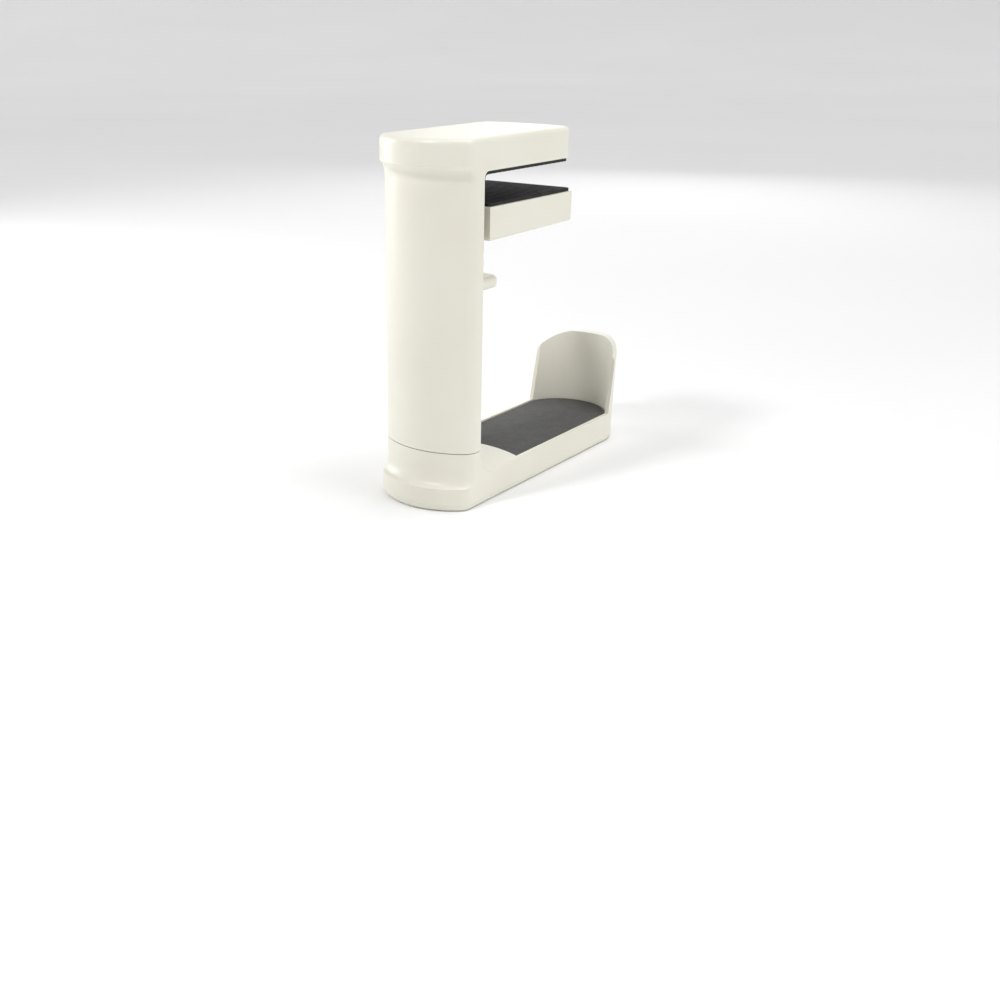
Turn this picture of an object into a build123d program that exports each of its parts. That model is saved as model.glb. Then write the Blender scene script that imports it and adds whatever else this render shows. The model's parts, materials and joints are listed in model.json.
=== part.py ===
from build123d import *
import math
import os

# Spring-clamp headphone hook. A fixed column with an upper jaw hangs on the edge of a desk top.
# A sprung lower jaw slides up and down behind the column and grips the desk from below.
# A hook arm with a saddle pad and an upturned lip swivels under the column without limit.
#
# Everything is drawn in the column's own coordinates, in millimetres:
#   X = 0 on the middle plane, Y = 0 on the column's rear face, Z = 0 on the face of the upper pad.
# save() then moves each piece along Y, so that the origin is the centre of the upper pad's face.

# ---- column and cap -----------------------------------------------------------------------------
HALF_WIDTH = 20.0          # column and both jaws
COLUMN_DEPTH = 13.0        # rear face to the crown of the column's front
COLUMN_SIDE = 5.5          # rear face to where the front's arc would meet the flat side
CAP_DEPTH = 16.5           # the cap stands out over the column's front
CAP_SIDE = 8.0
CAP_TOP = 12.5
CAP_FILLET = 2.1           # rounding round the cap's top
CAP_BAND_LOW = 3.3         # lower edge of the cap's upright band
COVE_LOW = -2.3            # the cove under the cap ends here
CORNER = 5.5               # rounding between the flat sides and the curved front
WALL = 2.0                 # moulded wall
SEAM = -99.0               # column's bottom face
SEAM_GAP = 0.3             # play between the column and the hook
CAVITY_TOP, CAVITY_LOW = -2.0, -97.0
SLOT_TOP = -5.0            # top of the opening in the column's rear face
OVER = 1.0                 # how far a cutting or joining solid runs past the face it meets
FIT = 0.1                  # play round a plate or a pad in its seat
SNUG = 0.02                # left between a screw and its hole

# ---- upper jaw ----------------------------------------------------------------------------------
PAD = 1.2                  # rubber on the faces that touch the desk
UPPER_JAW_UNDER = PAD      # underside of the upper jaw's moulding
UPPER_JAW_LENGTH = 56.5    # along its sides
JAW_TIP_BOW = 3.0          # its end bows out by this much in the middle
JAW_TIP_CORNER = 4.0
JAW_PLATE = 2.2            # plate that closes a jaw's hollow
JAW_ROOF = 2.2             # moulding over the upper jaw's hollow
JAW_HOLLOW = (6.0, UPPER_JAW_LENGTH - 3.0)
JAW_SCREWS_Y = (17.0, 43.0)
INNER_FILLET = 2.6         # where the upper jaw's underside meets the column's rear face
PAD_INSET = 0.6            # the pad stops short of the moulding's outline
PAD_SIDE = HALF_WIDTH - PAD_INSET
PAD_LEG_LOW = -10.5        # the pad's two legs run this far down the column
BOSS_R = 3.0

# ---- rear cover ---------------------------------------------------------------------------------
COVER_THICKNESS = 1.8
COVER_HEAD_H = 1.5
MID_SCREW_Z = -72.7
BLOCK_SCREWS = ((-8.0, -91.0), (8.0, -91.0))                 # x, z
COVER_SCREWS = (*BLOCK_SCREWS, (0.0, MID_SCREW_Z))

# ---- lower jaw, carriage and finger tab -----------------------------------------------------------
OPENING = 10.0             # clamp opening as drawn
JAW_TRAVEL_DOWN = 22.0     # the jaw also travels 7.5 up from where it is drawn
LOWER_JAW_TOP = -OPENING - PAD
LOWER_JAW_LOW = -23.0
LOWER_JAW_ROOT = 3.6       # the jaw block starts this far behind the column
LOWER_JAW_TIP = 59.0
TIP_RISE = 0.7             # the lower jaw's underside rises to its tip
JAW_FLOOR = 2.2            # moulding under and in front of the lower jaw's hollow
LOWER_HOLLOW = (LOWER_JAW_ROOT + JAW_FLOOR, LOWER_JAW_TIP - JAW_FLOOR)
LOWER_PLATE_SCREWS_Y = (20.0, 46.0)
LOWER_PAD_INSET = 0.8
NECK_HALF_WIDTH = 6.4      # part of the carriage that comes out through the rear cover's slot
SLOT_HALF_WIDTH = NECK_HALF_WIDTH + 0.35
NECK_TOP = -13.0
NECK_FRONT = -8.0
CARRIAGE_TOP, CARRIAGE_LOW = -26.0, -46.0
JAW_SCREWS = ((-3.6, -17.2), (3.6, -17.2))                   # x, z
TAB_SCREWS = ((0.0, -34.9), (0.0, -43.6))
FIXING_HOLE_R = 1.3        # for the pan head screws that hold the jaw and the tab
TAB_TOP = -37.2
TAB_THICKNESS = 4.2
TAB_HALF_WIDTH = 16.0
TAB_REACH = 18.0
TAB_CORNER, TAB_EDGE = 5.0, 1.5
TAB_FLANGE = 2.0           # thickness of the tab's fixing flange
TAB_FLANGE_TOP = -32.4
RIB_X, RIB_WIDTH, RIB_SINK = 7.5, 2.0, 0.5
RIB_REACH = TAB_REACH - 5.0

# ---- guide rods, springs and pivot block ----------------------------------------------------------
ROD_X, ROD_Y, ROD_R = 12.5, -5.0, 1.5
ROD_LOW, ROD_HIGH = -95.0, 0.8
ROD_CHAMFER = 0.3
ROD_CLEARANCE = 0.05
SPRING_WIRE, SPRING_MEAN_R, SPRING_TURNS = 0.7, 2.3, 13
BLOCK_TOP = -86.0          # pivot block: carries the rods, the springs and the swivel bush

# ---- hook ---------------------------------------------------------------------------------------
HOOK_HALF_WIDTH = HALF_WIDTH
BASE_DEPTH = 17.0          # the hook's base stands out like the cap
BASE_SIDE = 8.3
ARM_TOP = -109.0
BAND_TOP = -112.0          # upper edge of the base's upright band, in front of the arm
COVER_TOP = -118.6         # parting line between the arm and its bottom cover
HOOK_LOW = -120.8
COVER_EDGE = 1.6           # rounding round the bottom cover
NECK_TOP_FACE = SEAM - SEAM_GAP
NECK_COVE_TOP = -105.8     # the hook's neck starts to flare into its base here
NECK_FOOT = 7.0            # hollow where the neck's back meets the arm's top
LIP_CENTRE_Y = 94.2        # the arm ends in a half circle of HOOK_HALF_WIDTH about this point
LIP_TOP = -79.5
LIP_FRONT = 96.2           # foot of the front faces of the lip's two flanges
LIP_SLOPE = 6.0            # how far those faces slope back, up to the lip's top
LIP_LEAN = 1.8             # the lip leans out by this much at its top
LIP_CORNER = 14.0
SCOOP_R_LOW, SCOOP_R_HIGH = 19.2, 20.5
SCOOP_CENTRE_LOW, SCOOP_CENTRE_HIGH = 90.0, 92.2
SADDLE_HALF_WIDTH = 18.2
SADDLE_DEPTH = 2.0         # recess for the saddle pad
SADDLE_SINK = 0.3          # the pad's face lies this far below the arm's rim
SADDLE_FRONT_MIDDLE, SADDLE_FRONT_SIDE = 31.0, 27.0
SADDLE_BACK = LIP_FRONT - 3.0
POCKET_TOP = ARM_TOP - SADDLE_DEPTH - 2.0                    # roof of the hollow inside the arm
POCKET_WALL = WALL + 0.2
NECK_ROOF = 2.0                                 # over the hollow of the neck
ARM_RIBS_Y, ARM_RIB_WIDTH = (24.0, 40.0, 56.0, 72.0), 1.6
HOOK_SCREWS = ((-14.5, 8.0), (14.5, 8.0), (-14.5, 86.0), (14.5, 86.0))   # x, y
HOOK_BOSS_R = 2.6
HOOK_SINK_R, HOOK_SINK = 2.3, 1.2                            # counterbores in the bottom cover

# ---- screws and swivel ----------------------------------------------------------------------------
PLATE_SCREW_R, PLATE_HEAD_R, PLATE_HEAD_H = 1.2, 2.4, 1.4    # countersunk, in the jaws' plates
COVER_SCREW_R, COVER_HEAD_R = 1.1, 2.2                       # countersunk, in the rear cover
SMALL_SCREW_R = 1.1                                          # pan head screws
SWIVEL_Y = -6.4            # swivel axis
BOLT_R = 2.0               # M4
BOLT_FLATS, BOLT_HEAD_H = 6.9, 2.8
NUT_FLATS, NUT_H, NUT_COLLAR_R, NUT_COLLAR_H = 7.0, 3.2, 3.1, 1.4
BOLT_SEAT = -102.3         # under the head of the swivel bolt
BOLT_END = -76.6
BUSH_R = 3.1
FLANGE_R, FLANGE_H = 4.1, 0.8                                # bush flange and the washer on it
RING_R, RING_THICKNESS = 5.1, 0.9                            # slip ring between column and hook
DISC_R, DISC_RISE, DISC_THICKNESS = 4.0, 0.55, 0.5

PAD_CENTRE_Y = 28.0        # the part's origin, in column coordinates

os.makedirs("parts", exist_ok=True)


# ---- helpers ----------------------------------------------------------------------------------
def save(shape, node):
    """Writes one node, moved from column coordinates to the part's own frame."""
    solids = [Pos(0, -PAD_CENTRE_Y, 0) * solid for solid in shape.solids()]
    export_step(solids[0] if len(solids) == 1 else Compound(solids), f"parts/{node}.step")


def repeat(shape, places):
    """The same fastener at several places, as a group of separate solids."""
    return Compound([solid for place in places for solid in (place * shape).solids()])


def block(x0, x1, y0, y1, z0, z1):
    centre = Pos((x0 + x1) / 2, (y0 + y1) / 2, (z0 + z1) / 2)
    return centre * Box(x1 - x0, y1 - y0, z1 - z0)


def slab(half_width, y0, y1, z0, z1):
    """A block with X = 0 in its middle."""
    return block(-half_width, half_width, y0, y1, z0, z1)


def upright(x, y, radius, z0, z1):
    return Pos(x, y, (z0 + z1) / 2) * Cylinder(radius, z1 - z0)


def along_x(y, z, radius, length):
    return Pos(0, y, z) * Rot(0, 90, 0) * Cylinder(radius, length)


def along_y(x, z, radius, y0, y1):
    return Pos(x, (y0 + y1) / 2, z) * Rot(90, 0, 0) * Cylinder(radius, y1 - y0)


def prism(face, z0, z1):
    return Pos(0, 0, z0) * extrude(face, z1 - z0)


def edges_at(shape, z):
    return [edge for edge in shape.edges() if abs(edge.center().Z - z) < 1e-6]


def d_outline(half_width, side, depth, corner):
    """Flat back on Y = 0, flat sides, curved front: the plan of the column, cap and base."""
    front = ThreePointArc((half_width, -side), (0, -depth), (-half_width, -side))
    rest = Polyline((-half_width, -side), (-half_width, 0), (half_width, 0), (half_width, -side))
    face = make_face(front + rest)
    corners = [v for v in face.vertices() if v.Y < -side / 2]
    return fillet(corners, corner)


def cove(wide, narrow, z_wide, z_narrow, steps=4):
    """Quarter-round hollow between a wide and a narrow D outline, each (half width, side, depth)."""
    sections = []
    for i in range(steps + 1):
        t = i / steps
        reach = 1 - math.sqrt(1 - (1 - t) ** 2)
        sizes = [n + (w - n) * reach for w, n in zip(wide, narrow)]
        sections.append(Pos(0, 0, z_wide + (z_narrow - z_wide) * t) * d_outline(*sizes, CORNER))
    return loft(sections)


def arm_bar(inset=0.0):
    """Plan of the arm behind the column: straight sides and a half-round end, drawn in by inset."""
    half = HOOK_HALF_WIDTH - inset
    bar = Pos(0, LIP_CENTRE_Y / 2) * Rectangle(2 * half, LIP_CENTRE_Y)
    return bar + Pos(0, LIP_CENTRE_Y) * Circle(half)


def arm_outline(inset=0.0):
    """Plan of the hook: the arm with its D front, drawn in by inset."""
    half = HOOK_HALF_WIDTH - inset
    return d_outline(half, BASE_SIDE - inset / 2, BASE_DEPTH - inset, CORNER) + arm_bar(inset)


def cross_slot(width, height):
    return Box(width, 0.5, height) + Box(0.5, width, height)


def countersunk_screw(length, shank_r, head_r, head_h):
    """Points along +Z, with the flat of its head on Z = 0."""
    shank = Pos(0, 0, length / 2) * Cylinder(shank_r, length)
    head = Pos(0, 0, head_h / 2) * Cone(head_r, shank_r, head_h)
    return head + shank - Rot(0, 0, 45) * cross_slot(head_r * 1.2, 0.9)


def pan_screw(length, shank_r, head_r, head_h):
    """Points along +Z, with the underside of its head on Z = 0."""
    shank = Pos(0, 0, length / 2) * Cylinder(shank_r, length)
    head = Pos(0, 0, -head_h / 2) * Cylinder(head_r, head_h)
    head = fillet(edges_at(head, -head_h), head_h * 0.4)
    return head + shank - Pos(0, 0, -head_h) * cross_slot(head_r * 1.2, 1.2)


def countersink(head_r, shank_r, head_h, depth=3.0):
    """The hole for a countersunk screw that points along +Z, with its mouth on Z = 0."""
    cone = Pos(0, 0, head_h / 2) * Cone(head_r + SNUG, shank_r + SNUG, head_h)
    return cone + Pos(0, 0, depth / 2) * Cylinder(shank_r + SNUG, depth)


def hexagon_bar(flats, z0, z1):
    return prism(Pos(0, SWIVEL_Y) * RegularPolygon(flats / 2, 6, major_radius=False), z0, z1)


def ring(outer_r, inner_r, z0, z1):
    """A washer on the swivel axis."""
    return upright(0, SWIVEL_Y, outer_r, z0, z1) - upright(0, SWIVEL_Y, inner_r, z0 - OVER, z1 + OVER)


column = d_outline(HALF_WIDTH, COLUMN_SIDE, COLUMN_DEPTH, CORNER)
column_inside = d_outline(HALF_WIDTH - WALL, COLUMN_SIDE - WALL / 2, COLUMN_DEPTH - WALL, CORNER - 1)

# ---- column shell with the upper jaw -----------------------------------------------------------
cap_plan = d_outline(HALF_WIDTH, CAP_SIDE, CAP_DEPTH, CORNER)
tip = ThreePointArc((HALF_WIDTH, UPPER_JAW_LENGTH), (0, UPPER_JAW_LENGTH + JAW_TIP_BOW),
                    (-HALF_WIDTH, UPPER_JAW_LENGTH))
sides = Polyline((-HALF_WIDTH, UPPER_JAW_LENGTH), (-HALF_WIDTH, 0), (HALF_WIDTH, 0),
                 (HALF_WIDTH, UPPER_JAW_LENGTH))
behind_column = make_face(tip + sides)
behind_column = fillet([v for v in behind_column.vertices() if v.Y > OVER], JAW_TIP_CORNER)
jaw_plan = cap_plan + behind_column
upper_jaw = prism(jaw_plan, CAP_BAND_LOW, CAP_TOP)
upper_jaw += prism(behind_column, UPPER_JAW_UNDER, CAP_BAND_LOW + OVER)
upper_jaw = fillet(edges_at(upper_jaw, CAP_TOP), CAP_FILLET)
shell = upper_jaw + prism(column, SEAM, CAP_BAND_LOW + OVER)
shell += cove((HALF_WIDTH, CAP_SIDE, CAP_DEPTH), (HALF_WIDTH, COLUMN_SIDE, COLUMN_DEPTH),
              CAP_BAND_LOW, COVE_LOW)
corner_y, corner_z = INNER_FILLET, UPPER_JAW_UNDER - INNER_FILLET
inner_corner = slab(HALF_WIDTH, -OVER / 2, corner_y, corner_z, UPPER_JAW_UNDER + OVER / 2)
shell += inner_corner - along_x(corner_y, corner_z, INNER_FILLET, 2 * HALF_WIDTH + OVER)

shell -= prism(column_inside, CAVITY_LOW, CAVITY_TOP)
shell -= slab(HALF_WIDTH - WALL, -COVER_THICKNESS, OVER, SEAM - OVER, SLOT_TOP)
shell -= slab(HALF_WIDTH - WALL, *JAW_HOLLOW, UPPER_JAW_UNDER - OVER, UPPER_JAW_UNDER + JAW_PLATE)
shell -= slab(HALF_WIDTH - WALL - OVER, JAW_HOLLOW[0] + OVER, JAW_HOLLOW[1] - OVER, UPPER_JAW_UNDER,
              CAP_TOP - JAW_ROOF)
for y in JAW_SCREWS_Y:
    shell += upright(0, y, BOSS_R, UPPER_JAW_UNDER + JAW_PLATE, CAP_TOP - JAW_ROOF / 2)
    shell -= upright(0, y, PLATE_SCREW_R + SNUG, UPPER_JAW_UNDER, UPPER_JAW_UNDER + 8)
shell += along_y(0, MID_SCREW_Z, BOSS_R - 0.5, -COLUMN_DEPTH + WALL / 2, -COVER_THICKNESS)
shell -= along_y(0, MID_SCREW_Z, COVER_SCREW_R + SNUG, -COLUMN_DEPTH + 2 * WALL, 0)
shell -= upright(0, SWIVEL_Y, BUSH_R, SEAM - OVER, CAVITY_LOW + OVER)
for side in (-1, 1):
    shell -= upright(side * ROD_X, ROD_Y, ROD_R, CAVITY_TOP - OVER, ROD_HIGH)
save(shell, "column_shell")

# ---- what closes the column and the upper jaw ---------------------------------------------------
cover = slab(HALF_WIDTH - WALL - FIT, -COVER_THICKNESS, 0, SEAM, SLOT_TOP - FIT)
slot_low = CARRIAGE_LOW - JAW_TRAVEL_DOWN - 0.6
cover -= slab(SLOT_HALF_WIDTH, -COVER_THICKNESS - OVER, OVER, slot_low, SLOT_TOP + OVER)
for x, z in COVER_SCREWS:
    cover -= Pos(x, 0, z) * Rot(90, 0, 0) * countersink(COVER_HEAD_R, COVER_SCREW_R, COVER_HEAD_H)
save(cover, "rear_cover")

jaw_plate = slab(HALF_WIDTH - WALL - FIT, JAW_HOLLOW[0] + FIT, JAW_HOLLOW[1] - FIT,
                 UPPER_JAW_UNDER, UPPER_JAW_UNDER + JAW_PLATE)
for y in JAW_SCREWS_Y:
    jaw_plate -= Pos(0, y, UPPER_JAW_UNDER) * countersink(PLATE_HEAD_R, PLATE_SCREW_R, PLATE_HEAD_H)
save(jaw_plate, "upper_jaw_plate")

# The pad covers the upper jaw's underside, turns round the inner corner and ends in two legs.
pad = prism(offset(behind_column, -PAD_INSET), 0, PAD) + slab(PAD_SIDE, 0, PAD, PAD_LEG_LOW, PAD)
corner_bar = slab(PAD_SIDE, 0, corner_y, corner_z, PAD)
outside = along_x(corner_y, corner_z, INNER_FILLET, 2 * HALF_WIDTH)
inside = along_x(corner_y, corner_z, INNER_FILLET - PAD, 2 * HALF_WIDTH)
pad = (pad - corner_bar) + (corner_bar & outside) - inside
pad -= slab(SLOT_HALF_WIDTH + OVER, -OVER, PAD + OVER, PAD_LEG_LOW - OVER, corner_z)
save(pad, "upper_jaw_pad")

screw = countersunk_screw(7.0, PLATE_SCREW_R, PLATE_HEAD_R, PLATE_HEAD_H)
save(repeat(screw, [Pos(0, y, UPPER_JAW_UNDER) for y in JAW_SCREWS_Y]), "upper_jaw_plate_screws")
screw = countersunk_screw(6.5, COVER_SCREW_R, COVER_HEAD_R, COVER_HEAD_H)
save(repeat(screw, [Pos(x, 0, z) * Rot(90, 0, 0) for x, z in COVER_SCREWS]), "rear_cover_screws")

# ---- guide rods, springs and the pivot block ----------------------------------------------------
for name, side in (("left", -1), ("right", 1)):
    rod = upright(side * ROD_X, ROD_Y, ROD_R, ROD_LOW, ROD_HIGH)
    ends = [e for e in rod.edges() if e.geom_type == GeomType.CIRCLE]
    save(chamfer(ends, ROD_CHAMFER), f"guide_rod_{name}")

    height = CARRIAGE_LOW - BLOCK_TOP - 2 * SPRING_WIRE
    path = Pos(0, 0, BLOCK_TOP + SPRING_WIRE) * Helix(height / SPRING_TURNS, height, SPRING_MEAN_R)
    wire = Plane(origin=path @ 0, z_dir=path % 0) * Circle(SPRING_WIRE / 2)
    coil = sweep(wire, path, is_frenet=True)
    save(Pos(side * ROD_X, ROD_Y, 0) * coil, f"clamp_spring_{name}")

behind_cover = Pos(0, -COLUMN_DEPTH / 2) * Rectangle(2 * HALF_WIDTH, COLUMN_DEPTH - 2 * COVER_THICKNESS)
pivot_block = prism(offset(column_inside, -0.15) & behind_cover, CAVITY_LOW, BLOCK_TOP)
pivot_block -= upright(0, SWIVEL_Y, BUSH_R, CAVITY_LOW - OVER, BLOCK_TOP + OVER)
for side in (-1, 1):
    pivot_block -= upright(side * ROD_X, ROD_Y, ROD_R, ROD_LOW, BLOCK_TOP + OVER)
for x, z in BLOCK_SCREWS:
    pivot_block -= along_y(x, z, COVER_SCREW_R + SNUG, -6.6, 0)
save(pivot_block, "pivot_block")

bush = upright(0, SWIVEL_Y, BUSH_R - SNUG, SEAM, BLOCK_TOP)
bush += upright(0, SWIVEL_Y, FLANGE_R, BLOCK_TOP, BLOCK_TOP + FLANGE_H)
bush -= upright(0, SWIVEL_Y, BOLT_R + 2 * SNUG, SEAM - OVER, BLOCK_TOP + FLANGE_H + OVER)
save(bush, "swivel_bush")

# ---- sliding carriage, lower jaw and finger tab ---------------------------------------------------
clear_of_cover = Pos(0, -2 * FIT) * offset(behind_cover, -FIT)
carriage = prism(offset(column_inside, -0.5) & clear_of_cover, CARRIAGE_LOW, CARRIAGE_TOP)
carriage += slab(NECK_HALF_WIDTH, NECK_FRONT, LOWER_JAW_ROOT, CARRIAGE_LOW, NECK_TOP)
for side in (-1, 1):
    carriage -= upright(side * ROD_X, ROD_Y, ROD_R + ROD_CLEARANCE, CARRIAGE_LOW - OVER,
                        CARRIAGE_TOP + OVER)
for x, z in (*JAW_SCREWS, *TAB_SCREWS):
    carriage -= along_y(x, z, SMALL_SCREW_R + SNUG, -6.0, LOWER_JAW_ROOT + OVER)
save(carriage, "carriage")

side_view = Polyline((LOWER_JAW_ROOT, LOWER_JAW_LOW), (LOWER_JAW_TIP, LOWER_JAW_LOW + TIP_RISE),
                     (LOWER_JAW_TIP, LOWER_JAW_TOP), (LOWER_JAW_ROOT, LOWER_JAW_TOP), close=True)
lower_jaw = Pos(-HALF_WIDTH, 0, 0) * extrude(Plane.YZ * make_face(side_view), 2 * HALF_WIDTH)
rounded = [e for e in lower_jaw.edges() if e.center().Z < LOWER_JAW_LOW + TIP_RISE + 0.1]
rounded += [e for e in lower_jaw.edges().filter_by(Axis.Z) if e.center().Y > LOWER_JAW_TIP - OVER]
lower_jaw = fillet(rounded, 1.1)
plate_low = LOWER_JAW_TOP - JAW_PLATE
hollow_low = LOWER_JAW_LOW + JAW_FLOOR
lower_jaw -= slab(HALF_WIDTH - WALL, *LOWER_HOLLOW, plate_low, LOWER_JAW_TOP + OVER)
lower_jaw -= slab(HALF_WIDTH - WALL - OVER, LOWER_HOLLOW[0], LOWER_HOLLOW[1] - OVER, hollow_low,
                  LOWER_JAW_TOP)
for y in LOWER_PLATE_SCREWS_Y:
    lower_jaw += upright(0, y, BOSS_R, hollow_low - OVER / 2, plate_low)
    lower_jaw -= upright(0, y, PLATE_SCREW_R + SNUG, hollow_low + OVER / 2, plate_low + OVER)
for x, z in JAW_SCREWS:
    lower_jaw -= along_y(x, z, FIXING_HOLE_R, 0, LOWER_HOLLOW[0] + OVER)
save(lower_jaw, "lower_jaw_shell")

lower_plate = slab(HALF_WIDTH - WALL - FIT, LOWER_HOLLOW[0] + FIT, LOWER_HOLLOW[1] - FIT, plate_low,
                   LOWER_JAW_TOP)
pointing_down = [Pos(0, y, LOWER_JAW_TOP) * Rot(180, 0, 0) for y in LOWER_PLATE_SCREWS_Y]
for place in pointing_down:
    lower_plate -= place * countersink(PLATE_HEAD_R, PLATE_SCREW_R, PLATE_HEAD_H)
save(lower_plate, "lower_jaw_plate")

lower_pad = slab(HALF_WIDTH - LOWER_PAD_INSET, LOWER_JAW_ROOT + LOWER_PAD_INSET,
                 LOWER_JAW_TIP - LOWER_PAD_INSET, LOWER_JAW_TOP, -OPENING)
save(fillet(lower_pad.edges().filter_by(Axis.Z), 1.5), "lower_jaw_pad")

screw = countersunk_screw(6.2, PLATE_SCREW_R, PLATE_HEAD_R, PLATE_HEAD_H)
save(repeat(screw, pointing_down), "lower_jaw_plate_screws")
screw = pan_screw(8.5, SMALL_SCREW_R, 2.1, 1.5)
save(repeat(screw, [Pos(x, LOWER_HOLLOW[0], z) * Rot(90, 0, 0) for x, z in JAW_SCREWS]),
     "lower_jaw_screws")

tab_low = TAB_TOP - TAB_THICKNESS
tab = slab(TAB_HALF_WIDTH, LOWER_JAW_ROOT, TAB_REACH, tab_low, TAB_TOP)
tab = fillet([e for e in tab.edges().filter_by(Axis.Z) if e.center().Y > TAB_REACH - OVER], TAB_CORNER)
rims = edges_at(tab, TAB_TOP) + edges_at(tab, tab_low)
tab = fillet([e for e in rims if e.center().Y > LOWER_JAW_ROOT + OVER], TAB_EDGE)
tab += slab(NECK_HALF_WIDTH, LOWER_JAW_ROOT, LOWER_JAW_ROOT + TAB_FLANGE, CARRIAGE_LOW, TAB_FLANGE_TOP)
rib_top = tab_low + RIB_SINK
rib = Polyline((LOWER_JAW_ROOT, rib_top), (RIB_REACH, rib_top), (LOWER_JAW_ROOT, CARRIAGE_LOW),
               close=True)
for x in (-RIB_X, RIB_X):
    tab += Pos(x - RIB_WIDTH / 2, 0, 0) * extrude(Plane.YZ * make_face(rib), RIB_WIDTH)
for x, z in TAB_SCREWS:
    tab -= along_y(x, z, FIXING_HOLE_R, 0, LOWER_JAW_ROOT + TAB_FLANGE + OVER)
save(tab, "finger_tab")
screw = pan_screw(8.0, SMALL_SCREW_R, 2.0, 1.3)
flange_face = LOWER_JAW_ROOT + TAB_FLANGE
save(repeat(screw, [Pos(x, flange_face, z) * Rot(90, 0, 0) for x, z in TAB_SCREWS]),
     "finger_tab_screws")

# ---- hook arm with its neck and lip ---------------------------------------------------------------
arm = prism(arm_outline(), COVER_TOP, BAND_TOP) + prism(column, NECK_COVE_TOP, NECK_TOP_FACE)
arm += cove((HOOK_HALF_WIDTH, BASE_SIDE, BASE_DEPTH), (HALF_WIDTH, COLUMN_SIDE, COLUMN_DEPTH),
            BAND_TOP, NECK_COVE_TOP)
arm += prism(arm_bar(), BAND_TOP - OVER / 2, ARM_TOP)
foot = slab(HALF_WIDTH, -OVER, NECK_FOOT, ARM_TOP - OVER / 2, ARM_TOP + NECK_FOOT)
arm += foot - along_x(NECK_FOOT, ARM_TOP + NECK_FOOT, NECK_FOOT, 2 * HALF_WIDTH + 2)

lip = loft([Pos(0, LIP_CENTRE_Y, ARM_TOP - 3) * Circle(HOOK_HALF_WIDTH),
            Pos(0, LIP_CENTRE_Y + LIP_LEAN, LIP_TOP) * Circle(HOOK_HALF_WIDTH)])
arch = Rectangle(2 * HOOK_HALF_WIDTH + 2, 2 * (LIP_TOP - ARM_TOP))
arch = fillet([v for v in arch.vertices() if v.Y > 0], LIP_CORNER)
lip &= Pos(0, LIP_CENTRE_Y + 40, ARM_TOP) * Rot(90, 0, 0) * extrude(arch, 80)
in_front = Polyline((LIP_CENTRE_Y - 30, ARM_TOP), (LIP_FRONT, ARM_TOP), (LIP_FRONT + LIP_SLOPE, LIP_TOP),
                    (LIP_FRONT + LIP_SLOPE, LIP_TOP + 5), (LIP_CENTRE_Y - 30, LIP_TOP + 5), close=True)
lip -= Pos(-30, 0, 0) * extrude(Plane.YZ * make_face(in_front), 60)
arm += lip
arm -= loft([Pos(0, SCOOP_CENTRE_LOW, ARM_TOP) * Circle(SCOOP_R_LOW),
             Pos(0, SCOOP_CENTRE_HIGH, LIP_TOP + OVER) * Circle(SCOOP_R_HIGH)])

saddle_front = ThreePointArc((-SADDLE_HALF_WIDTH, SADDLE_FRONT_SIDE), (0, SADDLE_FRONT_MIDDLE),
                             (SADDLE_HALF_WIDTH, SADDLE_FRONT_SIDE))
saddle_sides = Polyline((SADDLE_HALF_WIDTH, SADDLE_FRONT_SIDE), (SADDLE_HALF_WIDTH, SADDLE_BACK),
                        (-SADDLE_HALF_WIDTH, SADDLE_BACK), (-SADDLE_HALF_WIDTH, SADDLE_FRONT_SIDE))
end = Pos(0, SCOOP_CENTRE_LOW) * Circle(SCOOP_R_LOW)
end &= Pos(0, SADDLE_BACK + SCOOP_R_LOW) * Rectangle(2 * SADDLE_HALF_WIDTH, 2 * SCOOP_R_LOW)
saddle_plan = make_face(saddle_front + saddle_sides) + end
arm -= prism(saddle_plan, ARM_TOP - SADDLE_DEPTH, ARM_TOP + SNUG)

arm -= prism(arm_outline(POCKET_WALL), COVER_TOP - OVER, POCKET_TOP)
neck_hollow = prism(column_inside, POCKET_TOP - OVER, BOLT_SEAT - NECK_ROOF)
arm -= neck_hollow & slab(30, -30, -2.5, POCKET_TOP - 2 * OVER, NECK_TOP_FACE)
for x, y in HOOK_SCREWS:
    arm += upright(x, y, HOOK_BOSS_R, COVER_TOP, POCKET_TOP + OVER / 2)
    arm -= upright(x, y, SMALL_SCREW_R + SNUG, COVER_TOP - OVER, POCKET_TOP)
for y in ARM_RIBS_Y:
    arm += slab(HALF_WIDTH - OVER, y - ARM_RIB_WIDTH / 2, y + ARM_RIB_WIDTH / 2, COVER_TOP + 0.4,
                POCKET_TOP + OVER / 2)
arm -= hexagon_bar(NUT_FLATS, BOLT_SEAT - BOLT_HEAD_H - 0.2, BOLT_SEAT)
arm -= upright(0, SWIVEL_Y, BOLT_R + FIT, BOLT_SEAT - OVER, NECK_TOP_FACE + OVER)
arm -= upright(0, SWIVEL_Y, RING_R + FIT, SEAM - RING_THICKNESS, NECK_TOP_FACE + OVER)
save(arm, "hook_arm")

save(prism(offset(saddle_plan, -FIT), ARM_TOP - SADDLE_DEPTH, ARM_TOP - SADDLE_SINK), "saddle_pad")

bottom = prism(arm_outline(), HOOK_LOW, COVER_TOP)
bottom = fillet(edges_at(bottom, HOOK_LOW), COVER_EDGE)
for x, y in HOOK_SCREWS:
    bottom -= upright(x, y, SMALL_SCREW_R + FIT, HOOK_LOW - OVER, COVER_TOP + OVER)
    bottom -= upright(x, y, HOOK_SINK_R, HOOK_LOW - OVER, HOOK_LOW + HOOK_SINK)
save(bottom, "bottom_cover")
screw = pan_screw(4.6, SMALL_SCREW_R, 2.1, 1.0)
save(repeat(screw, [Pos(x, y, HOOK_LOW + HOOK_SINK - SNUG) for x, y in HOOK_SCREWS]),
     "bottom_cover_screws")

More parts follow.
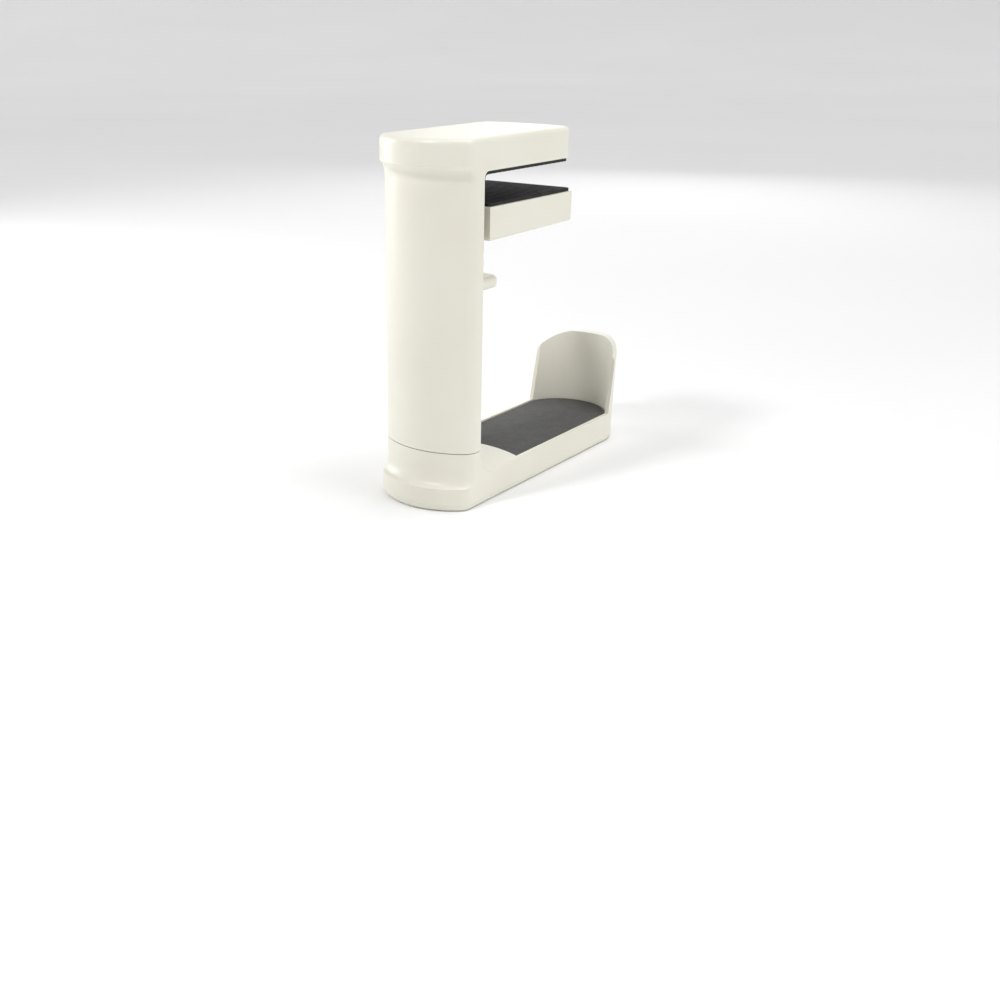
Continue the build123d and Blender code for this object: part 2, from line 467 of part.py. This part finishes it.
# ---- swivel ---------------------------------------------------------------------------------------
bolt = hexagon_bar(BOLT_FLATS, BOLT_SEAT - BOLT_HEAD_H, BOLT_SEAT)
bolt += upright(0, SWIVEL_Y, BOLT_R, BOLT_SEAT - OVER / 2, BOLT_END)
save(chamfer(edges_at(bolt, BOLT_END), 0.4), "swivel_bolt")
save(ring(RING_R, BUSH_R + 0.2, SEAM - RING_THICKNESS, SEAM), "slip_ring")

washer_low = BLOCK_TOP + FLANGE_H
disc_low = washer_low + FLANGE_H
save(ring(FLANGE_R, BOLT_R + FIT, washer_low, disc_low), "flat_washer")

disc_hole = BOLT_R + FIT
nut_low = disc_low + 2 * DISC_RISE
section = Polyline((disc_hole, disc_low + DISC_RISE), (DISC_R, disc_low),
                   (DISC_R, disc_low + DISC_THICKNESS), (disc_hole, nut_low), close=True)
save(Pos(0, SWIVEL_Y, 0) * revolve(Plane.XZ * make_face(section), Axis.Z), "disc_spring")

nut = hexagon_bar(NUT_FLATS, nut_low, nut_low + NUT_H)
nut += upright(0, SWIVEL_Y, NUT_COLLAR_R, nut_low + NUT_H - 0.2, nut_low + NUT_H + NUT_COLLAR_H)
save(nut - upright(0, SWIVEL_Y, BOLT_R, nut_low - OVER, nut_low + NUT_H + 2 * NUT_COLLAR_H), "lock_nut")
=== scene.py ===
"""Looks of the spring-clamp headphone hook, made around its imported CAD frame."""
import json
import math

import bmesh
import bpy
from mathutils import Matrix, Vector


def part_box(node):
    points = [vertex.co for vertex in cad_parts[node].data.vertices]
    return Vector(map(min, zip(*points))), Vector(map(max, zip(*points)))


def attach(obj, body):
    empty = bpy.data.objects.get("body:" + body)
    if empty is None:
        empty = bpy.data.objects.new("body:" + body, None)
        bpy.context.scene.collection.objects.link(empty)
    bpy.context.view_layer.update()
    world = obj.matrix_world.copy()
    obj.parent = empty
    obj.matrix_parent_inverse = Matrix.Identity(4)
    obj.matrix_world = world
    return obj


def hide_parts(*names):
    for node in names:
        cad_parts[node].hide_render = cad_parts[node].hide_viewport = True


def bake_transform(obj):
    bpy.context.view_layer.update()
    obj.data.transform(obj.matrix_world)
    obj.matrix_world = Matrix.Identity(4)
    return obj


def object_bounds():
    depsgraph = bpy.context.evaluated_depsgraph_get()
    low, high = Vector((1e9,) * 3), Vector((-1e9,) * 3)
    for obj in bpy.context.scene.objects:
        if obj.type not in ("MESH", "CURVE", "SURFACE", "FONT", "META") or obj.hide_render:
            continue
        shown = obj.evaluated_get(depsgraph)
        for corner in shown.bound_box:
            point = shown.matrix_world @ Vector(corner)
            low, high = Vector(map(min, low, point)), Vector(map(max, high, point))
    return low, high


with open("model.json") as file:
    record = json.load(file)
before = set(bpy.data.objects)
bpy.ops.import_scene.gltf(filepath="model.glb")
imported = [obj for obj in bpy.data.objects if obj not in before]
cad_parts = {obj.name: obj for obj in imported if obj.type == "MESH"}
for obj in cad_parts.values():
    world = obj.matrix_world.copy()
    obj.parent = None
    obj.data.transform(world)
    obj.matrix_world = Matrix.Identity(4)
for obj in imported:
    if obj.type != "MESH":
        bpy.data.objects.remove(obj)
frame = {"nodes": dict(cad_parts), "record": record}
CAD_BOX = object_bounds()
MM = 0.001
NOISE_LOW, NOISE_HIGH = 0.3, 0.7   # a noise texture's output lies mostly between these


# ---- materials -----------------------------------------------------------------------------------
class Finish:
    """A Principled material with the noise and bump helpers that the finishes share."""

    def __init__(self, name, metallic=0.0, **sockets):
        self.material = bpy.data.materials.new(name)
        self.material.use_nodes = True
        self.tree = self.material.node_tree
        self.shader = self.tree.nodes["Principled BSDF"]
        self.shader.inputs["Metallic"].default_value = metallic
        for socket, value in sockets.items():
            self.shader.inputs[socket.replace("_", " ")].default_value = value
        self.place = self.tree.nodes.new("ShaderNodeTexCoord").outputs["Object"]
        self.normal = None

    def stretched(self, x, y, z):
        """Object coordinates, scaled differently along each axis."""
        node = self.tree.nodes.new("ShaderNodeMapping")
        node.inputs["Scale"].default_value = (x, y, z)
        self.tree.links.new(self.place, node.inputs["Vector"])
        return node.outputs["Vector"]

    def noise(self, size_mm, detail, place=None):
        node = self.tree.nodes.new("ShaderNodeTexNoise")
        node.inputs["Scale"].default_value = 1 / (size_mm * MM)
        node.inputs["Detail"].default_value = detail
        self.tree.links.new(place or self.place, node.inputs["Vector"])
        return node.outputs["Fac"]

    def spread(self, value, low, high):
        """A noise output, stretched to run from low to high."""
        node = self.tree.nodes.new("ShaderNodeMapRange")
        node.inputs["From Min"].default_value = NOISE_LOW
        node.inputs["From Max"].default_value = NOISE_HIGH
        node.inputs["To Min"].default_value = low
        node.inputs["To Max"].default_value = high
        self.tree.links.new(value, node.inputs["Value"])
        return node.outputs["Result"]

    def colour(self, value, dark, light):
        node = self.tree.nodes.new("ShaderNodeMix")
        node.data_type = "RGBA"
        node.inputs["A"].default_value = (*dark, 1)
        node.inputs["B"].default_value = (*light, 1)
        self.tree.links.new(self.spread(value, 0, 1), node.inputs["Factor"])
        self.tree.links.new(node.outputs["Result"], self.shader.inputs["Base Color"])

    def roughness(self, value, low, high):
        self.tree.links.new(self.spread(value, low, high), self.shader.inputs["Roughness"])

    def bump(self, value, height_mm, strength=1.0):
        node = self.tree.nodes.new("ShaderNodeBump")
        node.inputs["Strength"].default_value = strength
        node.inputs["Distance"].default_value = height_mm * MM
        self.tree.links.new(value, node.inputs["Height"])
        if self.normal:
            self.tree.links.new(self.normal, node.inputs["Normal"])
        self.normal = node.outputs["Normal"]
        self.tree.links.new(self.normal, self.shader.inputs["Normal"])


def moulded(name, dark, light, rough):
    """Satin moulded plastic: faint cloudiness, a slow waviness and a fine spark-eroded grain."""
    finish = Finish(name, Specular_IOR_Level=0.45)
    finish.colour(finish.noise(30, 5), dark, light)
    finish.roughness(finish.noise(1.6, 3), *rough)
    finish.bump(finish.noise(14, 1), height_mm=0.05, strength=0.5)
    finish.bump(finish.noise(0.5, 1), height_mm=0.004)
    return finish.material


def rubber(name, dark, light):
    """Matt rubber with a fine uneven skin."""
    finish = Finish(name, Specular_IOR_Level=0.35)
    finish.colour(finish.noise(5, 4), dark, light)
    finish.roughness(finish.noise(0.8, 3), 0.62, 0.8)
    finish.bump(finish.noise(0.35, 4), height_mm=0.03)
    return finish.material


def metal(name, dark, light, rough, drawn=(1, 1, 1)):
    """Bare metal with a fine grain, which drawn stretches along an axis."""
    finish = Finish(name, metallic=1.0)
    grain = finish.noise(0.4, 3, finish.stretched(*drawn))
    finish.colour(finish.noise(2.2, 3), dark, light)
    finish.roughness(grain, *rough)
    finish.bump(grain, height_mm=0.006)
    return finish.material


MATERIALS = {
    "cream_abs": moulded("cream_abs", (0.775, 0.755, 0.655), (0.80, 0.782, 0.688), (0.29, 0.37)),
    "grey_rubber": rubber("grey_rubber", (0.076, 0.076, 0.076), (0.094, 0.093, 0.091)),
    "black_rubber": rubber("black_rubber", (0.012, 0.012, 0.012), (0.028, 0.028, 0.027)),
    "grey_nylon": moulded("grey_nylon", (0.26, 0.26, 0.25), (0.33, 0.33, 0.32), (0.45, 0.6)),
    "white_acetal": moulded("white_acetal", (0.80, 0.80, 0.78), (0.87, 0.87, 0.85), (0.29, 0.37)),
    "zinc_steel": metal("zinc_steel", (0.50, 0.50, 0.48), (0.66, 0.66, 0.63), (0.29, 0.46)),
    "bright_steel": metal("bright_steel", (0.72, 0.72, 0.72), (0.82, 0.82, 0.82), (0.08, 0.18),
                          (1, 1, 0.05)),
    "spring_steel": metal("spring_steel", (0.34, 0.34, 0.35), (0.50, 0.50, 0.51), (0.29, 0.40)),
}


def paint(piece, slot):
    """Gives a piece its material, which bears the slot's name."""
    piece.data.materials.clear()
    piece.data.materials.append(MATERIALS[slot])


# ---- CAD nodes that stay -------------------------------------------------------------------------
EDGE_MM = 0.2
EXACT_MESH = ("column_shell", "hook_arm")  # their broad curves shade best with their own normals
SLOT_OF = {row["node"]: row["material_slot"] for row in frame["record"]["subparts"]}


def finish_cad(node):
    """Softly broken edges for a CAD node: weld, merge coplanar triangles, bevel."""
    weld = node.modifiers.new("weld", "WELD")
    weld.merge_threshold = 0.001 * MM
    flat = node.modifiers.new("flat", "DECIMATE")
    flat.decimate_type = "DISSOLVE"
    flat.angle_limit = math.radians(0.6)
    soft = node.modifiers.new("soft", "BEVEL")
    soft.width = EDGE_MM * MM
    soft.segments = 2
    soft.limit_method = "ANGLE"
    soft.angle_limit = math.radians(40)
    soft.harden_normals = True


for name, node in frame["nodes"].items():
    if name not in EXACT_MESH:
        finish_cad(node)
    paint(node, SLOT_OF[name])


# ---- mesh building -------------------------------------------------------------------------------
# Pieces are drawn in the column's own coordinates, in millimetres: X = 0 on the middle plane,
# Y = 0 on the column's rear face, Z = 0 on the face of the upper pad. build() moves them.
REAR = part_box("rear_cover")[1].y / MM


class Node:
    """A CAD node's box in column coordinates, in millimetres."""

    def __init__(self, name):
        low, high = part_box(name)
        self.left, self.right = low.x / MM, high.x / MM
        self.front, self.back = low.y / MM - REAR, high.y / MM - REAR
        self.low, self.top = low.z / MM, high.z / MM


def mix(a, b, t):
    """The value a share t of the way from a to b."""
    return a + (b - a) * t


def steps(a, b, count):
    """count + 1 even values from a to b."""
    return [mix(a, b, i / count) for i in range(count + 1)]


def arc(y, z, radius, start, end, count=8):
    """Points on a circle, between two angles in degrees."""
    return [(y + radius * math.cos(math.radians(a)), z + radius * math.sin(math.radians(a)))
            for a in steps(start, end, count)]


def build(name, points, faces):
    """An object from points and faces, with doubles joined and every face turned outwards."""
    mesh = bpy.data.meshes.new(name)
    mesh.from_pydata([(x * MM, (y + REAR) * MM, z * MM) for x, y, z in points], [], faces)
    work = bmesh.new()
    work.from_mesh(mesh)
    bmesh.ops.remove_doubles(work, verts=work.verts, dist=0.002 * MM)
    bmesh.ops.dissolve_degenerate(work, edges=work.edges, dist=0.001 * MM)
    bmesh.ops.recalc_face_normals(work, faces=work.faces)
    work.to_mesh(mesh)
    work.free()
    obj = bpy.data.objects.new(name, mesh)
    bpy.context.scene.collection.objects.link(obj)
    return obj


def loft(name, rings):
    """Closed rings of equal length, joined in turn, with a flat cap on each end."""
    count = len(rings[0])
    faces = [(k * count + i, k * count + (i + 1) % count, (k + 1) * count + (i + 1) % count,
              (k + 1) * count + i) for k in range(len(rings) - 1) for i in range(count)]
    last = (len(rings) - 1) * count
    faces += [tuple(range(count)), tuple(range(last, last + count))]
    return build(name, [point for ring in rings for point in ring], faces)


def extruded(name, side_view, half_width):
    """A side view, given as (y, z), drawn out along X."""
    return loft(name, [[(x, y, z) for y, z in side_view] for x in (-half_width, half_width)])


def combine(obj, operation, tool):
    """Cuts or intersects obj with a tool, and removes the tool."""
    change = obj.modifiers.new("change", "BOOLEAN")
    change.operation = operation
    change.solver = "EXACT"
    change.object = tool
    mesh = bpy.data.meshes.new_from_object(obj.evaluated_get(bpy.context.evaluated_depsgraph_get()))
    obj.modifiers.clear()
    obj.data = mesh
    bpy.data.objects.remove(tool)


def soften(obj, width_mm):
    """Smooth shading, with every sharp edge rounded to width_mm."""
    obj.data.shade_smooth()
    edge = obj.modifiers.new("edge", "BEVEL")
    edge.width = width_mm * MM
    edge.segments = 3
    edge.limit_method = "ANGLE"
    edge.angle_limit = math.radians(35)
    edge.harden_normals = True


# ---- jaw pads ------------------------------------------------------------------------------------
GROOVE_PITCH, GROOVE_WIDTH, GROOVE_DEPTH = 3.0, 0.9, 0.3
TIP_BOW, TIP_CORNER = 2.95, 3.4
LEG_THICKNESS = 1.2            # of the part of the upper pad that runs down the column
BEND = 2.6                     # outer radius where the upper pad turns down
PAD_GAP = 7.75                 # half the gap between the upper pad's two legs
LOWER_PAD_CORNER = 1.5
PAD_EDGE = 0.18
OVER = 1                       # how far a cutting shape stands past the piece that it cuts


def grooved(y0, y1, z, depth):
    """A flat face along Y with shallow anti-slip grooves across it, as (y, z)."""
    count = int((y1 - y0) // GROOVE_PITCH)
    margin = (y1 - y0 - count * GROOVE_PITCH + GROOVE_PITCH) / 2
    line = [(y0, z)]
    for i in range(count):
        middle = y0 + margin + i * GROOVE_PITCH
        for dy, dz in ((-0.5, 0), (-0.3, 1), (0.3, 1), (0.5, 0)):
            line.append((middle + dy * GROOVE_WIDTH, z + dz * depth))
    return line + [(y1, z)]


def bowed_outline(half, front, back, z):
    """A square front and a bowed back with rounded corners, as the upper jaw has."""
    bow = (half ** 2 + TIP_BOW ** 2) / (2 * TIP_BOW)
    centre = back - bow
    x = half - TIP_CORNER
    y = centre + math.sqrt((bow - TIP_CORNER) ** 2 - x ** 2)
    turn = math.degrees(math.atan2(y - centre, x))
    right = arc(x, y, TIP_CORNER, 0, turn) + arc(0, centre, bow, turn, 90, 14)[1:]
    side = right + [(-px, py) for px, py in right[-2::-1]]
    return [(px, py, z) for px, py in side + [(-half, front), (half, front)]]


def upper_pad():
    """A liner under the jaw that turns down the column in two legs, one each side of the slot."""
    pad = Node("upper_jaw_pad")
    inner = BEND - LEG_THICKNESS
    outline = [(0, pad.low), (LEG_THICKNESS, pad.low)]
    outline += arc(BEND, -inner, inner, 180, 90)
    outline += grooved(BEND + 1, pad.back, 0, GROOVE_DEPTH) + [(pad.back, pad.top)]
    outline += arc(BEND, -inner, BEND, 90, 180)
    piece = extruded("upper_jaw_pad_rubber", outline, pad.right)
    low, high = pad.low - OVER, pad.top + OVER
    keep = loft("keep", [bowed_outline(pad.right, -OVER, pad.back, z) for z in (low, high)])
    combine(piece, "INTERSECT", keep)
    window = [(-OVER, low), (BEND, low), (BEND, -inner), (-OVER, -inner)]
    combine(piece, "DIFFERENCE", extruded("opening", window, PAD_GAP))
    soften(piece, PAD_EDGE)
    return piece


def rounded_rectangle(x, y0, y1, corner, z):
    """A ring at height z, from -x to x and from y0 to y1."""
    points = []
    for cx, cy, start in ((x - corner, y1 - corner, 0), (corner - x, y1 - corner, 90),
                          (corner - x, y0 + corner, 180), (x - corner, y0 + corner, 270)):
        points += [(px, py, z) for px, py in arc(cx, cy, corner, start, start + 90)]
    return points


def lower_pad():
    """A flat grooved liner, cut from a longer and wider strip to rounded corners."""
    pad = Node("lower_jaw_pad")
    outline = [(pad.front - OVER, pad.low), (pad.front - OVER, pad.top)]
    outline += grooved(pad.front, pad.back, pad.top, -GROOVE_DEPTH)
    outline += [(pad.back + OVER, pad.top), (pad.back + OVER, pad.low)]
    piece = extruded("lower_jaw_pad_rubber", outline, pad.right + OVER)
    keep = loft("keep", [rounded_rectangle(pad.right, pad.front, pad.back, LOWER_PAD_CORNER, z)
                         for z in (pad.low - OVER, pad.top + OVER)])
    combine(piece, "INTERSECT", keep)
    soften(piece, PAD_EDGE)
    return piece


# ---- saddle pad ----------------------------------------------------------------------------------
SADDLE_SAG = 4.0               # how far the pad's front edge bows towards the lip
SADDLE_END_R = 19.1            # radius of its rounded end under the lip
SADDLE_RIM, SADDLE_CROWN = 0.5, 0.2
SADDLE_FOOT = 0.2              # chamfer round its underside


def saddle():
    """A soft inlay with a rounded rim and a faint crown."""
    pad = Node("saddle_pad")
    half = pad.right
    bow = (half ** 2 + SADDLE_SAG ** 2) / (2 * SADDLE_SAG)
    end = pad.back - SADDLE_END_R
    side = end + math.sqrt(SADDLE_END_R ** 2 - half ** 2)
    across = steps(half, -half, 32)
    outline = [(x, pad.front + SADDLE_SAG - bow + math.sqrt(bow ** 2 - x ** 2)) for x in across]
    outline += [(-half, y) for y in steps(pad.front, side, 24)[1:-1]]
    outline += [(x, end + math.sqrt(SADDLE_END_R ** 2 - x ** 2)) for x in across[::-1]]
    outline += [(half, y) for y in steps(side, pad.front, 24)[1:-1]]

    def ring(inset, z):
        """The outline drawn in towards the pad's middle line, at height z."""
        share = inset / half
        return [(mix(x, 0, share), mix(y, min(max(y, pad.front + half), end), share), z)
                for x, y in outline]

    shoulder = pad.top - SADDLE_CROWN
    rings = [ring(SADDLE_FOOT, pad.low), ring(0, pad.low + SADDLE_FOOT)]
    rings += [ring(SADDLE_RIM * (1 - math.cos(a)), shoulder - SADDLE_RIM * (1 - math.sin(a)))
              for a in steps(0, math.pi / 2, 6)]
    rings += [ring(inset, pad.top - SADDLE_CROWN * (1 - (inset - SADDLE_RIM) / half) ** 3)
              for inset in steps(SADDLE_RIM, half * 0.97, 14)[1:]]
    piece = loft("saddle_pad_rubber", rings)
    piece.data.shade_smooth()
    return piece


# ---- clamp springs -------------------------------------------------------------------------------
WIRE = 0.7
ACTIVE_TURNS, DEAD_TURNS = 7.0, 1.25
ALL_TURNS = ACTIVE_TURNS + 2 * DEAD_TURNS
CLOSED_PITCH = WIRE * 1.02     # the end coils almost touch
COIL_STEPS, WIRE_SIDES = 28, 12


def spring(name):
    """A compression spring with closed end coils, along its CAD node."""
    cad = Node(name)
    centre_x, centre_y = (cad.left + cad.right) / 2, (cad.front + cad.back) / 2
    radius = (cad.right - cad.left - WIRE) / 2
    low, high = cad.low + WIRE / 2, cad.top - WIRE / 2
    dead = DEAD_TURNS * CLOSED_PITCH
    section = [(WIRE / 2 * math.cos(a), WIRE / 2 * math.sin(a))
               for a in steps(0, 2 * math.pi, WIRE_SIDES)[:-1]]
    rings = []
    for turn in steps(0, ALL_TURNS, int(ALL_TURNS * COIL_STEPS)):
        up = min(max((turn - DEAD_TURNS) / ACTIVE_TURNS, 0), 1)
        closed = min(turn, DEAD_TURNS) + max(turn - DEAD_TURNS - ACTIVE_TURNS, 0)
        z = low + closed * CLOSED_PITCH + up * (high - low - 2 * dead)
        out_x, out_y = math.cos(2 * math.pi * turn), math.sin(2 * math.pi * turn)
        rings.append([(centre_x + out_x * (radius + across), centre_y + out_y * (radius + across),
                       z + along) for across, along in section])
    piece = loft(name + "_coil", rings)
    piece.data.shade_smooth()
    paint(piece, "spring_steel")
    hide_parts(name)
    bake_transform(piece)


for piece, body, slot, node in ((upper_pad(), "column", "black_rubber", "upper_jaw_pad"),
                                (lower_pad(), "lower_jaw", "black_rubber", "lower_jaw_pad"),
                                (saddle(), "hook", "grey_rubber", "saddle_pad")):
    paint(piece, slot)
    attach(piece, body)
    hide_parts(node)
for side in ("left", "right"):
    spring("clamp_spring_" + side)


# ---- floor, light and camera ---------------------------------------------------------------------
def area_light(name, place, target, size, power):
    """A round soft light at a place, facing the target."""
    lamp = bpy.data.lights.new(name, "AREA")
    lamp.shape = "DISK"
    lamp.size = size
    lamp.energy = power
    obj = bpy.data.objects.new(name, lamp)
    bpy.context.scene.collection.objects.link(obj)
    obj.location = place
    obj.rotation_euler = (Vector(target) - Vector(place)).to_track_quat("-Z", "Y").to_euler()


def floor():
    """A wide pale bowl: flat under the object, and curved up far away all round it."""
    level, flat, bend, sides = CAD_BOX[0].z, 3.0, 4.0, 64  # metres, and a count
    side_view = [(flat + bend * math.sin(a), level + bend * (1 - math.cos(a)))
                 for a in steps(0, math.radians(80), 20)]
    verts = [(r * math.cos(a), r * math.sin(a), z)
             for r, z in side_view for a in steps(0, 2 * math.pi, sides)[:-1]]
    faces = [(k * sides + i, (k + 1) * sides + i, (k + 1) * sides + (i + 1) % sides,
              k * sides + (i + 1) % sides) for k in range(len(side_view) - 1) for i in range(sides)]
    faces.append(tuple(range(sides)))
    mesh = bpy.data.meshes.new("floor")
    mesh.from_pydata(verts, [], faces)
    mesh.shade_smooth()
    obj = bpy.data.objects.new("floor", mesh)
    bpy.context.scene.collection.objects.link(obj)
    finish = Finish("floor", Specular_IOR_Level=0.2, Roughness=0.8)
    finish.colour(finish.noise(400, 2), (0.86, 0.86, 0.86), (0.88, 0.88, 0.88))
    obj.data.materials.append(finish.material)


floor()
middle = (CAD_BOX[0] + CAD_BOX[1]) / 2
area_light("key", (-0.12, -0.42, 0.48), middle, 0.10, 1.62)
area_light("left", (-0.75, -0.10, 0.10), middle, 0.4, 2.2)
area_light("side", (0.70, 0.10, 0.16), middle, 0.5, 1.3)
area_light("back", (-0.35, 0.85, 0.30), middle, 0.6, 1.0)

sky = bpy.data.lights.new("overhead", "SUN")
sky.energy = 1.9
sky.angle = math.radians(50)
overhead = bpy.data.objects.new("overhead", sky)
overhead.rotation_euler = (math.radians(-12), math.radians(12), 0)
bpy.context.scene.collection.objects.link(overhead)

world = bpy.data.worlds.new("studio")
world.use_nodes = True
world.node_tree.nodes["Background"].inputs["Color"].default_value = (1, 1, 1, 1)
world.node_tree.nodes["Background"].inputs["Strength"].default_value = 0.15
bpy.context.scene.world = world
bpy.context.scene.view_settings.view_transform = "Standard"

camera = bpy.data.objects.new("camera", bpy.data.cameras.new("camera"))
bpy.context.scene.collection.objects.link(camera)
camera.location = (0.26896, -0.39102, 0.05183)
camera.rotation_euler = (math.radians(90 - 21.19), 0, math.radians(36.88))
camera.data.lens = 45.3
camera.data.sensor_width = 36
camera.data.shift_x = 0.07
camera.data.clip_start = 0.01
camera.data.clip_end = 50
bpy.context.scene.camera = camera
